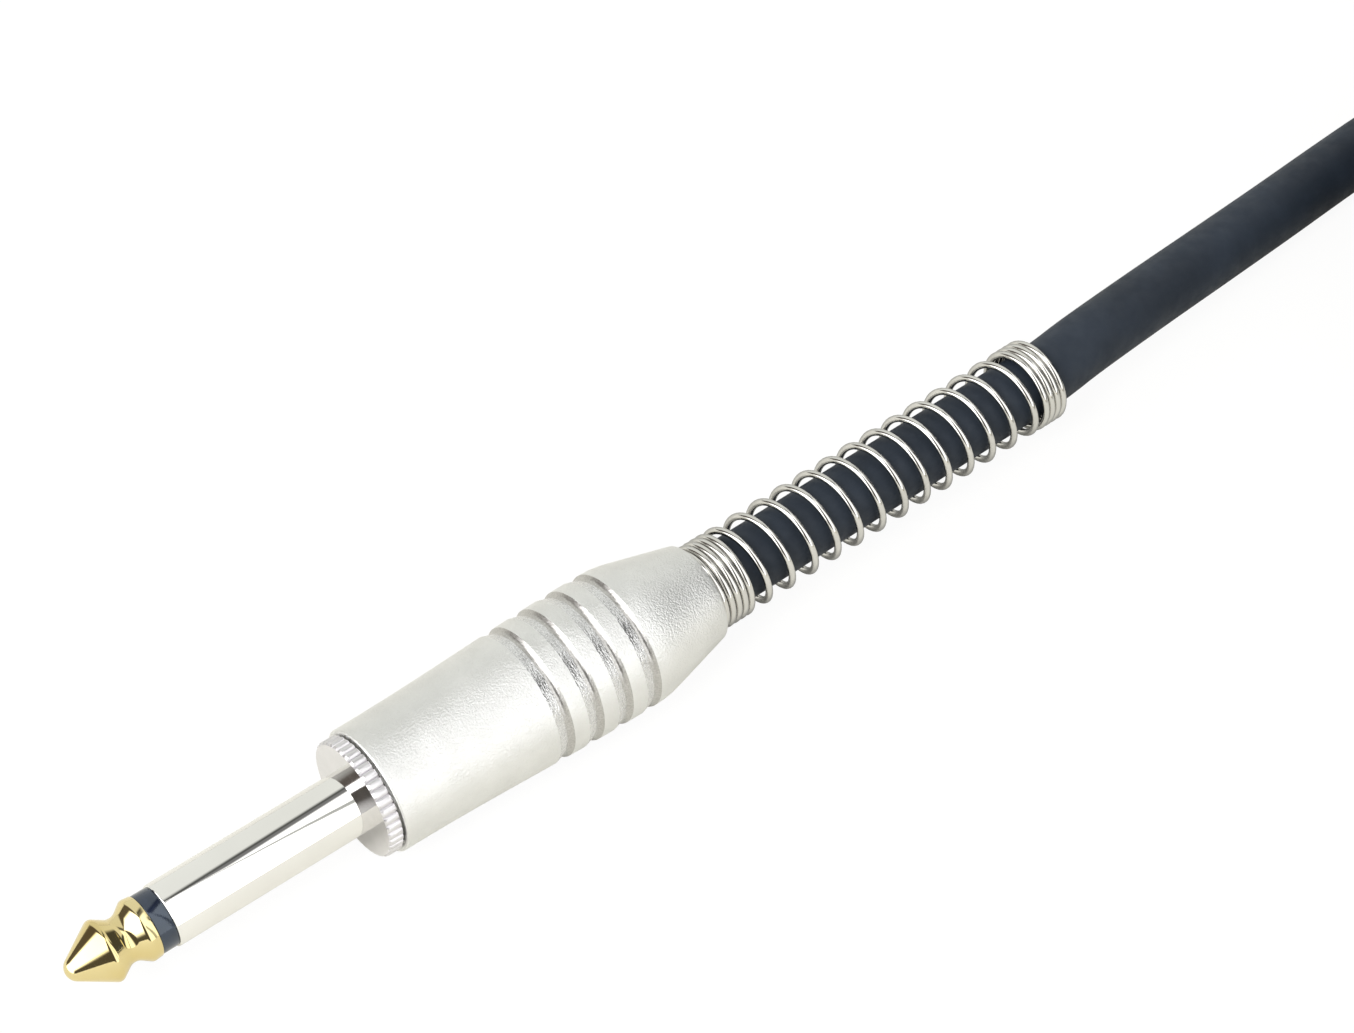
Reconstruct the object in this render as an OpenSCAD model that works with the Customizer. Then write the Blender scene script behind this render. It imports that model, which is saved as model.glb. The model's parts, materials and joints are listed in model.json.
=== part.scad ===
// Instrument cable with a straight two-pole quarter-inch plug at each end.
// Origin: centre of the plug collar's front face. +X runs along the plug towards the cable.
// The cable lies on the plane that the barrels rest on.

/* [Plug shaft] */
// Diameter of the sleeve contact
shaft_d = 6.35; // [6.3:0.01:6.4]
// Length of the sleeve contact in front of the collar
sleeve_l = 20.9; // [19:0.1:22]
// Width of the insulating ring between tip and sleeve
ring_w = 1.7; // [1.2:0.1:2.2]
// Diameter of the insulating ring
ring_d = 6; // [5.8:0.02:6.02]
// Length of the tip contact in front of the insulating ring
tip_l = 8.4; // [8:0.1:9]
// Largest diameter of the tip contact
tip_d = 6.3; // [6.1:0.05:6.35]
// Diameter at the bottom of the tip's neck
tip_neck_d = 4.6; // [4:0.1:5]
// Distance from the neck's bottom to the rear of the tip contact
tip_neck_x = 2.5; // [2.2:0.1:2.8]
// Distance from the tip's widest line to the rear of the tip contact
tip_widest_x = 4.35; // [4.2:0.05:4.6]
// Width of the tip's rear flange behind its widest line
tip_flange_w = 0.75; // [0.6:0.05:0.9]
// Diameter of the tip contact where it meets the insulating ring
tip_rear_d = 6.16; // [6.1:0.02:6.24]
// Radius of the tip's nose
nose_r = 1.3; // [1:0.1:1.6]
// Radius of the tip's rounded edges
tip_edge_r = 0.45; // [0.3:0.05:0.6]
// Radius at the bottom of the tip's neck
tip_neck_r = 1.2; // [0.9:0.05:1.3]
// Diameter of the centre rod that carries the tip
rod_d = 2.4; // [2:0.1:2.6]
// Wall of the insulating tube round the centre rod
rod_tube_wall = 0.8; // [0.6:0.1:1]
// Depth that the insulating ring's spigot reaches into the sleeve
spigot_l = 4; // [2:0.5:6]

/* [Collar and boss] */
// Diameter of the knurled collar
collar_d = 12.25; // [11.6:0.05:12.8]
// Thickness of the knurled collar
collar_t = 1.5; // [1.2:0.1:2]
// Number of teeth round the collar
knurl_teeth = 40; // [24:2:60]
// Depth of the knurl
knurl_depth = 0.32; // [0.2:0.01:0.4]
// Chamfer on the collar's edges
collar_chamfer = 0.25; // [0.1:0.05:0.4]
// Diameter of the threaded boss behind the collar
boss_d = 10.4; // [10:0.1:10.8]
// Length of the threaded boss
boss_l = 7; // [6:0.5:8]

/* [Barrel] */
// Overall length of the barrel
barrel_l = 38.9; // [38:0.1:42]
// Diameter at the barrel's front
barrel_front_d = 13; // [12.6:0.1:13.4]
// Largest diameter of the barrel
barrel_d = 14.54; // [14.2:0.02:15]
// Distance from the start of the rear shoulder to the barrel's rear end
shoulder_l = 9.6; // [9:0.1:10.5]
// Radius of the rear shoulder's blend
shoulder_r = 11; // [8:0.5:13]
// Diameter at the barrel's rear end
barrel_rear_d = 10.42; // [10.2:0.02:10.8]
// Radius of the edge round the barrel's rear end
barrel_rim_r = 0.2; // [0.1:0.05:0.25]
// Chamfer on the barrel's front edge
barrel_lip = 0.3; // [0.2:0.05:0.4]
// Number of grip grooves
groove_count = 4; // [1:1:4]
// Distance between grip grooves
groove_pitch = 3.4; // [3:0.1:3.6]
// Distance from the barrel's front to the first groove
groove_x = 18.1; // [16:0.1:18.5]
// Radius of a groove's round section
groove_r = 1.1; // [0.9:0.05:1.3]
// Depth of a groove
groove_depth = 0.4; // [0.3:0.05:0.5]
// Wall between the barrel's inner shoulder and its rear end
neck_l = 3.7; // [3.2:0.1:4.2]
// Diameter of the hole in the barrel's neck
neck_bore_d = 9.6; // [9.5:0.05:9.7]
// Length of the thread inside the barrel
thread_l = 5; // [4:0.5:5.5]
// Diameter of the barrel's bore behind the thread
barrel_bore_d = 10.9; // [10.8:0.05:11]

/* [Strain relief spring] */
// Wire thickness
wire_d = 0.78; // [0.7:0.02:0.8]
// Diameter of the open turns at the wire's centre
coil_d = 8.86; // [8.8:0.02:8.9]
// Diameter of the turns in the barrel's neck at the wire's centre
neck_coil_d = 8.4; // [8.3:0.02:8.4]
// Diameter of the wide turns that hold the spring in the barrel, at the wire's centre
seat_coil_d = 9.5; // [9.3:0.05:9.6]
// Distance between open turns
open_pitch = 2.97; // [2.5:0.01:3.2]
// Number of open turns
open_turns = 13; // [8:0.5:14]
// Distance between close turns
close_pitch = 1.25; // [1.2:0.01:1.3]
// Number of close turns behind the barrel
base_turns = 3.3; // [2:0.1:4]
// Number of close turns at the cable end
end_turns = 2.5; // [1.5:0.1:3]
// Number of turns in the barrel's neck
neck_turns = 2.6; // [2:0.1:3]
// Number of wide turns inside the barrel
seat_turns = 1.75; // [1:0.25:2]
// Sideways lean of the spring over one millimetre of its length
spring_lean = 0.0163; // [0:0.0001:0.018]

/* [Cable] */
// Diameter of the cable's jacket
cable_d = 6.9; // [6.6:0.1:7]
// Diameter of the inner insulation
core_d = 3; // [2.4:0.1:3.4]
// Diameter of the centre conductor
conductor_d = 1; // [0.6:0.1:1.2]
// Diameter of the twisted shield wires
pigtail_d = 1.5; // [1:0.1:1.6]
// Distance from the collar's face to the end of the jacket
jacket_x = 21; // [20:0.5:22]
// Length of the bared inner insulation
core_l = 3.4; // [3:0.1:3.6]
// Length of the bared centre conductor
conductor_l = 3; // [2.5:0.1:3.2]
// Length of the twisted shield wires
pigtail_l = 8; // [6:0.5:9]

/* [Solder tags] */
// Thickness of the tags
tag_t = 0.55; // [0.4:0.05:0.6]
// Diameter of the ground tag's ring
ground_ring_d = 8.9; // [8:0.1:9]
// Width of the ground tag's strip
ground_strip_w = 4; // [3:0.5:5]
// Distance from the end of the jacket to the clamp
clamp_inset = 3; // [2:0.5:4]
// Length of the clamp round the cable
clamp_l = 6; // [4:0.5:7]
// Opening at the top of the clamp
clamp_opening = 3.2; // [2:0.2:4]
// Thickness of the insulating washer
washer_t = 1; // [0.8:0.1:1.4]
// Diameter of the insulating washer
washer_d = 6.8; // [6:0.1:6.9]
// Diameter of the tip tag's ring
tip_ring_d = 5.2; // [4.6:0.1:6]
// Length of the tip tag's slope down to the centre conductor
tip_slope_l = 1.6; // [1.2:0.1:2]
// Length of the tip tag that lies on the centre conductor
tip_solder_l = 3; // [2.5:0.1:3.5]
// Width of the tip tag's strip
tip_strip_w = 2.4; // [1.8:0.1:3]
// Length of the rod's riveted head
rivet_l = 0.8; // [0.6:0.1:1]
// Diameter of the rod's riveted head
rivet_d = 3.6; // [3:0.1:3.8]
// Outer diameter of the insulating liner
liner_d = 9.9; // [9.8:0.02:9.94]
// Wall of the insulating liner
liner_wall = 0.3; // [0.2:0.05:0.35]

/* [Hank] */
// Length of the hank's straight runs
run_l = 65; // [62:1:68]
// Radius of the innermost loop at the middle of a run
inner_r = 18.9; // [18.9:0.1:19.4]
// Sideways step from one loop to the next
loop_step = 7.6; // [7.5:0.05:7.7]
// Height of one layer of loops
layer_step = 7.4; // [7.4:0.05:7.8]
// Inward draw of the runs under the tie
waist_draw = 6; // [4:0.5:6]

/* [Cable tie] */
// Length of the tie along the runs
tie_w = 12; // [10:1:16]
// Thickness of the tie
tie_t = 1.4; // [1:0.1:1.6]
// Corner radius inside the tie
tie_corner_r = 4; // [3:0.5:4]
// Length of the tie's overlapping end
tie_overlap = 26; // [16:1:34]

/* [Clearances] */
// Radial clearance between pieces that are pressed or slipped together
slip = 0.05; // [0.03:0.01:0.08]
// Radial clearance in the thread
thread_clearance = 0.05; // [0.03:0.01:0.08]
// Gap between the collar and the barrel
collar_gap = 0.2; // [0.15:0.05:0.3]
// Gap between the spring's wide turns and the barrel's inner shoulder
seat_gap = 0.25; // [0.2:0.05:0.4]
// Gap between the liner and the spring's first turn
liner_gap = 0.4; // [0.3:0.05:1]
// Gap between the tie and the cable
tie_gap = 0.35; // [0.3:0.05:0.5]

/* [Hidden] */
$fn = 64;

// Stations along the plug
tip_rear_x = -sleeve_l - ring_w;
nose_x = tip_rear_x - tip_l;
boss_end_x = collar_t + boss_l;
washer_x = boss_end_x + tag_t;
tip_tag_x = washer_x + washer_t;
rod_end_x = tip_tag_x + tag_t;
barrel_x = collar_t + collar_gap;
barrel_end_x = barrel_x + barrel_l;
inner_shoulder_x = barrel_end_x - neck_l;
clamp_x = jacket_x + clamp_inset;
core_x = jacket_x - core_l;

// Radii that more than one piece shares
rod_hole_r = rod_d / 2 + slip;
rod_tube_r = rod_hole_r + rod_tube_wall;
sleeve_bore_r = rod_tube_r + slip;
cable_r = cable_d / 2;
clamp_r = cable_r + slip;
barrel_r = barrel_d / 2;
floor_z = -barrel_r;
cable_z = floor_z + cable_r;

// Spring stations: number of turns from the first turn, place along X, radius
seat_start_x = inner_shoulder_x - seat_gap - wire_d / 2 - seat_turns * close_pitch;
liner_end_x = seat_start_x - wire_d / 2 - liner_gap;
base_start_turn = seat_turns + 0.5 + neck_turns;
open_start_turn = base_start_turn + base_turns;
end_start_turn = open_start_turn + open_turns;
last_turn = end_start_turn + end_turns;
open_start_x = barrel_end_x + base_turns * close_pitch;
end_start_x = open_start_x + open_turns * open_pitch;
spring_end_x = end_start_x + end_turns * close_pitch;
spring_x = [
    [0, seat_start_x],
    [seat_turns, inner_shoulder_x - seat_gap - wire_d / 2],
    [base_start_turn, barrel_end_x],
    [open_start_turn, open_start_x],
    [end_start_turn, end_start_x],
    [last_turn, spring_end_x]
];
spring_r = [
    [0, seat_coil_d / 2],
    [seat_turns - 0.25, seat_coil_d / 2],
    [seat_turns + 0.25, neck_coil_d / 2],
    [base_start_turn, neck_coil_d / 2],
    [base_start_turn + 0.5, coil_d / 2]
];
// Angle at which the open turns start, seen along +X from the +Y side
open_start_angle = 312.6;
wire_sides = 6;
rings_per_curl = 8;

// Far plug's place, from the near plug's origin
far_x = 98;
far_y = -66.4;

// Hank's place: the first run's start and the loops' centre line
hank_x = 158;
hank_y = -23.8;
rings_per_loop = 24;
loop_sides = 6;
// Rings on a quarter of a fold and on a run
quarter_rings = 4;
run_rings = 4;
run_end = quarter_rings + run_rings;
fold_end = run_end + 2 * quarter_rings;
return_end = fold_end + run_rings;
turns_per_layer = 2;
layers = 4;
first_ring = quarter_rings;
last_ring = (layers * turns_per_layer - 1) * rings_per_loop + quarter_rings + run_rings;

// Radius of the hank's loop after t turns, spiralling in and out at a steady rate
function loop_r(t) =
    inner_r + loop_step * abs((t + 0.25) % (2 * turns_per_layer) - turns_per_layer);
// Share of a layer's climb that is done after t turns, made along one run
function climb(t) =
    let (c = max(0, (t % turns_per_layer - turns_per_layer + 0.5) / 0.5))
    (1 - cos(180 * c)) / 2;
function loop_z(t) = cable_z + layer_step * (floor(t / turns_per_layer) + climb(t));
// Waist: 0 at the ends of a run and 1 at its middle
function waist(s) = (1 - cos(360 * s)) / 2;
function loop_point(k) =
    let (
        t = k / rings_per_loop,
        j = k % rings_per_loop,
        r = loop_r(t),
        z = loop_z(t),
        quarter = 90 / quarter_rings
    )
    j < quarter_rings ?
        [hank_x - r * cos(quarter * j), hank_y + r * sin(quarter * j), z]
    : j <= run_end ?
        let (s = (j - quarter_rings) / run_rings)
        [hank_x + run_l * s, hank_y + r - waist_draw * waist(s), z + waist_lift * waist(s)]
    : j < fold_end ?
        let (a = quarter * (j - run_end))
        [hank_x + run_l + r * sin(a), hank_y + r * cos(a), z]
    : j <= return_end ?
        let (s = (j - fold_end) / run_rings)
        [hank_x + run_l * (1 - s), hank_y - r + waist_draw * waist(s), z + waist_lift * waist(s)]
    :
        let (a = quarter * (j - return_end))
        [hank_x - r * sin(a), hank_y - r * cos(a), z];

// Share of the waist's draw and lift that the loops still have at the tie's edges
tie_edge_waist = 1 - tie_w / run_l;
// Lift of the runs over the tie
waist_lift = (tie_t + tie_gap) / tie_edge_waist;
hank_r = loop_r(first_ring / rings_per_loop);
hank_top_z = cable_z + (layers - 1) * layer_step;
hank_path = concat(
    [[hank_x - cable_d, hank_y + hank_r, cable_z]],
    [for (k = [first_ring:last_ring]) loop_point(k)],
    [[hank_x + run_l + cable_d, hank_y + hank_r, hank_top_z]]
);

// Route of the cable from the near plug to the hank
run_route = [
    [jacket_x, 0, 0], [34, 0, 0], [46, 0.05, 0], [60, 0.3, 0], [74, 0.52, 0], [87, 0.77, 0],
    [93, 1.45, -0.1], [103, 2.6, -0.75], [115, 4.05, -1.9], [126, 5.4, -2.95],
    [136, 6.52, -3.6], [hank_x - 2 * cable_d, hank_y + hank_r, cable_z],
    [hank_x - cable_d, hank_y + hank_r, cable_z]
];
// Turn from the hank's top layer down to the far plug
turn_x = hank_x + run_l + cable_d;
turn_y = far_y + 1;
turn_r = (hank_y + hank_r - turn_y) / 2;
turn_steps = 9;
turn_route = [
    for (i = [0:turn_steps])
        let (a = 180 * i / turn_steps)
        [
            turn_x + turn_r * sin(a),
            turn_y + turn_r * (1 + cos(a)),
            cable_z + (hank_top_z - cable_z) * (1 + cos(a)) / 2
        ]
];
// Route of the cable into the far plug, from the plug's own origin
far_route = [
    [126, 0.95, -3.7], [115, 0.92, -3.05], [105, 0.9, -1.8], [95, 0.86, -0.55], [87, 0.77, 0],
    [74, 0.52, 0], [60, 0.3, 0], [46, 0.05, 0], [34, 0, 0], [jacket_x, 0, 0]
];
tail_route = concat(
    [turn_route[0], turn_route[0] + [cable_d, 0, 0]],
    [for (i = [1:turn_steps]) turn_route[i] + [cable_d, 0, 0]],
    [for (p = far_route) p + [far_x, far_y, 0]]
);
tube_sides = 10;

function unit(v) = v / norm(v);
// Direction of a path at point i
function heading(path, i) =
    let (last = len(path) - 1)
    unit(path[min(i + 1, last)] - path[max(i - 1, 0)]);
// Ring of points round one point of a path; the first point lies away from "up"
function ring(centre, along, up, r, sides) =
    let (side = unit(cross(along, up)), top = cross(side, along))
    [
        for (k = [0:sides - 1])
            let (a = 360 * k / sides)
            centre + r * (sin(a) * side - cos(a) * top)
    ];
// Least distance between a point and the stretch from a to b
function stretch_distance(p, a, b) =
    let (
        ab = b - a,
        share = max(0, min(1, (p - a) * ab / (ab * ab)))
    )
    norm(p - a - share * ab);
// Least gap between the turns of a tube of thickness d along a path
function least_gap(path, d, rings) =
    min([
        for (i = [0:len(path) - rings - 1])
            for (j = [i + rings * 3 / 4:len(path) - 2])
                stretch_distance(path[i], path[floor(j)], path[floor(j) + 1])
    ]) - d;
function path_length(path) =
    [for (i = [1:len(path) - 1]) norm(path[i] - path[i - 1])] * [for (i = [1:len(path) - 1]) 1];

// Tube swept along a path, with "ups" as its reference direction at each point
module tube(path, ups, r, sides) {
    rings = len(path);
    points = [
        for (i = [0:rings - 1]) each ring(path[i], heading(path, i), ups[i], r, sides)
    ];
    walls = [
        for (i = [0:rings - 2])
            for (k = [0:sides - 1])
                let (
                    a = i * sides + k,
                    b = i * sides + (k + 1) % sides
                )
                each [[a, b, b + sides], [a, b + sides, a + sides]]
    ];
    first_cap = [for (k = [1:sides - 2]) [0, k + 1, k]];
    last = (rings - 1) * sides;
    last_cap = [for (k = [1:sides - 2]) [last, last + k, last + k + 1]];
    polyhedron(points = points, faces = concat(walls, first_cap, last_cap));
}

module level_tube(path, sides) {
    tube(path, [for (p = path) [0, 0, 1]], cable_r, sides);
}

// Turned piece: an outline of [radius, x] points revolved about the X axis
module turned(outline) {
    rotate([0, 90, 0])
        rotate_extrude()
            polygon(outline);
}

// Round bar or tube along X from x1 to x2
module bar(x1, x2, r, hole_r = 0) {
    turned([[hole_r, x1], [r, x1], [r, x2], [hole_r, x2]]);
}

// Points of an arc about [r, x], from angle a1 to a2; angle 0 points along +radius
function arc(r, x, arc_r, a1, a2, steps) = [
    for (i = [0:steps])
        let (a = a1 + (a2 - a1) * i / steps)
        [r + arc_r * cos(a), x + arc_r * sin(a)]
];
// Slope at which a turned outline falls from one arc straight on to the next. The second centre
// lies dr out and dx away from the first; a hollow arc has a negative radius
function fall_angle(dr, dx, first_r, second_r) =
    atan2(dx, dr) - acos((first_r - second_r) / norm([dr, dx]));

// Rounded nose, straight cone to the widest line, hollow neck and rear flange; one rod carries it
module tip_contact() {
    rim_r = tip_d / 2 - tip_edge_r;
    widest_x = tip_rear_x - tip_widest_x;
    neck_x = tip_rear_x - tip_neck_x;
    flange_x = tip_rear_x - tip_flange_w;
    nose_centre_x = nose_x + nose_r;
    neck_centre_r = tip_neck_d / 2 + tip_neck_r;
    neck_dr = neck_centre_r - rim_r;
    cone = fall_angle(-rim_r, widest_x - nose_centre_x, tip_edge_r, nose_r);
    front_flank = fall_angle(neck_dr, neck_x - widest_x, tip_edge_r, -tip_neck_r);
    rear_flank = fall_angle(neck_dr, flange_x - neck_x, tip_edge_r, -tip_neck_r);
    rivet_chamfer = 0.2;
    color("goldenrod")
        turned(concat(
            arc(0, nose_centre_x, nose_r, -90, -cone, 8),
            arc(rim_r, widest_x, tip_edge_r, -cone, front_flank, 6),
            arc(neck_centre_r, neck_x, tip_neck_r, 180 + front_flank, 180 - rear_flank, 8),
            arc(rim_r, flange_x, tip_edge_r, -rear_flank, 0, 3),
            [
                [tip_rear_d / 2, tip_rear_x],
                [rod_d / 2, tip_rear_x],
                [rod_d / 2, rod_end_x],
                [rivet_d / 2, rod_end_x],
                [rivet_d / 2 - rivet_chamfer, rod_end_x + rivet_l],
                [0, rod_end_x + rivet_l]
            ]
        ));
}

module tip_ring_insulator() {
    color("midnightblue")
        turned([
            [rod_hole_r, tip_rear_x],
            [ring_d / 2, tip_rear_x],
            [ring_d / 2, -sleeve_l],
            [rod_tube_r, -sleeve_l],
            [rod_tube_r, spigot_l - sleeve_l],
            [rod_hole_r, spigot_l - sleeve_l]
        ]);
}

module rod_insulator() {
    color("ivory") bar(spigot_l - sleeve_l, washer_x, rod_tube_r, rod_hole_r);
}

// Collar rim with straight teeth, before its edges are chamfered
module knurled_disc() {
    step = 360 / knurl_teeth;
    flank = step * 0.3;
    rotate([0, 90, 0])
        linear_extrude(collar_t)
            polygon([
                for (i = [0:knurl_teeth - 1])
                    let (a = i * step, root = collar_d / 2 - knurl_depth)
                    each [
                        root * [cos(a), sin(a)],
                        collar_d / 2 * [cos(a + flank), sin(a + flank)],
                        collar_d / 2 * [cos(a + step - flank), sin(a + step - flank)]
                    ]
            ]);
}

module sleeve_contact() {
    rim_r = collar_d / 2;
    color("gainsboro") {
        difference() {
            union() {
                intersection() {
                    knurled_disc();
                    turned([
                        [0, 0],
                        [rim_r - collar_chamfer, 0],
                        [rim_r, collar_chamfer],
                        [rim_r, collar_t - collar_chamfer],
                        [rim_r - collar_chamfer, collar_t],
                        [0, collar_t]
                    ]);
                }
                bar(-sleeve_l, collar_t / 2, shaft_d / 2);
                bar(collar_t / 2, boss_end_x, boss_d / 2);
            }
            bar(-sleeve_l - 1, boss_end_x + 1, sleeve_bore_r);
        }
    }
}

// Ring behind the boss, a curved strip under the cable and two clamp claws round it
module ground_tag() {
    lap = 0.5;
    color("silver") {
        bar(boss_end_x, washer_x, ground_ring_d / 2, sleeve_bore_r);
        intersection() {
            bar(boss_end_x, clamp_x + lap, clamp_r + tag_t, clamp_r);
            translate([boss_end_x, -ground_strip_w / 2, -clamp_r - 2 * tag_t])
                cube([clamp_x + lap - boss_end_x, ground_strip_w, clamp_r]);
        }
        difference() {
            bar(clamp_x, clamp_x + clamp_l, clamp_r + tag_t, clamp_r);
            translate([clamp_x - 1, -clamp_opening / 2, 0])
                cube([clamp_l + 2, clamp_opening, clamp_r + 2 * tag_t]);
        }
    }
}

module rear_insulator() {
    color("ivory") bar(washer_x, tip_tag_x, washer_d / 2, rod_hole_r);
}

// Ring under the riveted head and a strip bent down to the centre conductor
module tip_solder_tag() {
    bend_gap = 0.6;
    bend_x = rod_end_x + rivet_l + bend_gap;
    solder_x = bend_x + tip_slope_l;
    strip_end_x = solder_x + tip_solder_l;
    lap = 0.3;
    high = tip_ring_d / 2;
    low = conductor_d / 2 + slip + tag_t;
    color("silver") {
        bar(tip_tag_x, rod_end_x, tip_ring_d / 2, rod_hole_r);
        translate([0, tip_strip_w / 2, 0])
            rotate([90, 0, 0])
                linear_extrude(tip_strip_w)
                    polygon([
                        [tip_tag_x, high],
                        [bend_x, high],
                        [solder_x, low],
                        [strip_end_x, low],
                        [strip_end_x, low - tag_t],
                        [solder_x - lap, low - tag_t],
                        [bend_x - lap, high - tag_t],
                        [rod_end_x, high - tag_t],
                        [rod_end_x, high - tag_t - lap],
                        [tip_tag_x, high - tag_t - lap]
                    ]);
    }
}

module liner_tube() {
    color("whitesmoke")
        bar(boss_end_x, liner_end_x, liner_d / 2, liner_d / 2 - liner_wall);
}

module cable_core() {
    color("white") bar(core_x, jacket_x, core_d / 2);
}

module centre_conductor() {
    color("peru") bar(core_x - conductor_l, core_x, conductor_d / 2);
}

module shield_pigtail() {
    color("peru")
        translate([0, 0, pigtail_d / 2 + slip - clamp_r])
            bar(jacket_x - pigtail_l, jacket_x, pigtail_d / 2);
}

// Outline of the barrel's outside: eased front part, blended shoulder and rear taper
module barrel() {
    front_r = barrel_front_d / 2;
    rear_r = barrel_rear_d / 2;
    ease_steps = 16;
    blend_x = barrel_end_x - shoulder_l;
    ease_x = barrel_x + barrel_lip;
    ease_l = blend_x - ease_x;
    // The blend's arc runs straight on to the rear edge
    taper_angle = fall_angle(rear_r - barrel_r + shoulder_r, shoulder_l, shoulder_r, 0);
    blend_steps = 6;
    thread_r = boss_d / 2 + thread_clearance;
    color("lightgray")
        difference() {
            turned(concat(
                [[thread_r, barrel_x], [front_r - barrel_lip, barrel_x]],
                [
                    for (i = [0:ease_steps])
                        let (s = i / ease_steps)
                        [
                            front_r + (barrel_r - front_r) * (1 - cos(180 * s)) / 2,
                            ease_x + ease_l * s
                        ]
                ],
                [
                    for (i = [1:blend_steps])
                        let (a = taper_angle * i / blend_steps)
                        [barrel_r - shoulder_r * (1 - cos(a)), blend_x + shoulder_r * sin(a)]
                ],
                arc(rear_r - barrel_rim_r, barrel_end_x - barrel_rim_r, barrel_rim_r, 0, 90, 4),
                [
                    [neck_bore_d / 2, barrel_end_x],
                    [neck_bore_d / 2, inner_shoulder_x],
                    [barrel_bore_d / 2, inner_shoulder_x],
                    [barrel_bore_d / 2, barrel_x + thread_l],
                    [thread_r, barrel_x + thread_l]
                ]
            ));
            for (i = [0:groove_count - 1]) {
                x = barrel_x + groove_x + i * groove_pitch;
                ease = (1 - cos(180 * (x - ease_x) / ease_l)) / 2;
                surface_r = front_r + (barrel_r - front_r) * ease;
                rotate([0, 90, 0])
                    rotate_extrude()
                        translate([surface_r + groove_r - groove_depth, x])
                            circle(groove_r, $fn = 32);
            }
        }
}

module strain_relief_spring() {
    curl_rings = floor(last_turn * rings_per_curl);
    turns = [for (i = [0:curl_rings]) i / rings_per_curl];
    angles = [for (t = turns) open_start_angle + 360 * (t - open_start_turn)];
    path = [
        for (i = [0:curl_rings])
            let (
                x = lookup(turns[i], spring_x),
                r = lookup(turns[i], spring_r)
            )
            [
                x,
                r * cos(angles[i]) + spring_lean * max(0, x - barrel_end_x),
                r * sin(angles[i])
            ]
    ];
    echo("least gap between the spring's turns", least_gap(path, wire_d, rings_per_curl));
    color("silver")
        tube(path, [for (a = angles) [tan(30), cos(a), sin(a)]], wire_d / 2, wire_sides);
}

module cable_run() {
    echo("length of the cable between near plug and hank", path_length(run_route));
    color("darkslategray") level_tube(run_route, tube_sides);
}

module cable_hank() {
    echo("least gap between the hank's loops", least_gap(hank_path, cable_d, rings_per_loop));
    echo("length of the hank", path_length(hank_path));
    color("darkslategray") level_tube(hank_path, loop_sides);
}

module cable_tail() {
    echo("length of the cable between hank and far plug", path_length(tail_route));
    color("darkslategray") level_tube(tail_route, tube_sides);
}

// Rounded rectangle between two corners
module rounded(low, high, r) {
    translate(low + [r, 0]) square([high[0] - low[0] - 2 * r, high[1] - low[1]]);
    translate(low + [0, r]) square([high[0] - low[0], high[1] - low[1] - 2 * r]);
    for (y = [low[0] + r, high[0] - r])
        for (z = [low[1] + r, high[1] - r])
            translate([y, z]) circle(r);
}

// Strap round the waist of the hank, with its end lying on top
module cable_tie() {
    widest_turn = 2 * turns_per_layer - 0.25;
    margin = cable_r + tie_gap - waist_draw * tie_edge_waist;
    low = [hank_y - loop_r(widest_turn) - margin, floor_z + tie_t];
    high = [
        hank_y + loop_r(widest_turn - 0.5) + margin,
        hank_top_z + waist_lift + cable_r + tie_gap
    ];
    wall = [tie_t, tie_t];
    color("black")
        translate([hank_x + (run_l - tie_w) / 2, 0, 0])
            rotate([90, 0, 90])
                linear_extrude(tie_w) {
                    difference() {
                        rounded(low - wall, high + wall, tie_corner_r + tie_t);
                        rounded(low, high, tie_corner_r);
                    }
                    translate([(low[0] + high[0] - tie_overlap) / 2, high[1] + tie_t])
                        square([tie_overlap, tie_t]);
                }
}

// Places a piece of the near plug as the same piece of the far plug
module at_far_plug() {
    translate([far_x, far_y, 0]) children();
}

tip_contact();
tip_ring_insulator();
rod_insulator();
sleeve_contact();
ground_tag();
rear_insulator();
tip_solder_tag();
liner_tube();
cable_core();
centre_conductor();
shield_pigtail();
barrel();
strain_relief_spring();
cable_run();
cable_hank();
cable_tail();
cable_tie();
at_far_plug() tip_contact();  // far_tip_contact
at_far_plug() tip_ring_insulator();  // far_tip_ring_insulator
at_far_plug() rod_insulator();  // far_rod_insulator
at_far_plug() sleeve_contact();  // far_sleeve_contact
at_far_plug() ground_tag();  // far_ground_tag
at_far_plug() rear_insulator();  // far_rear_insulator
at_far_plug() tip_solder_tag();  // far_tip_solder_tag
at_far_plug() liner_tube();  // far_liner_tube
at_far_plug() cable_core();  // far_cable_core
at_far_plug() centre_conductor();  // far_centre_conductor
at_far_plug() shield_pigtail();  // far_shield_pigtail
at_far_plug() barrel();  // far_barrel
at_far_plug() strain_relief_spring();  // far_strain_relief_spring
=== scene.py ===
import json
import math

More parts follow.
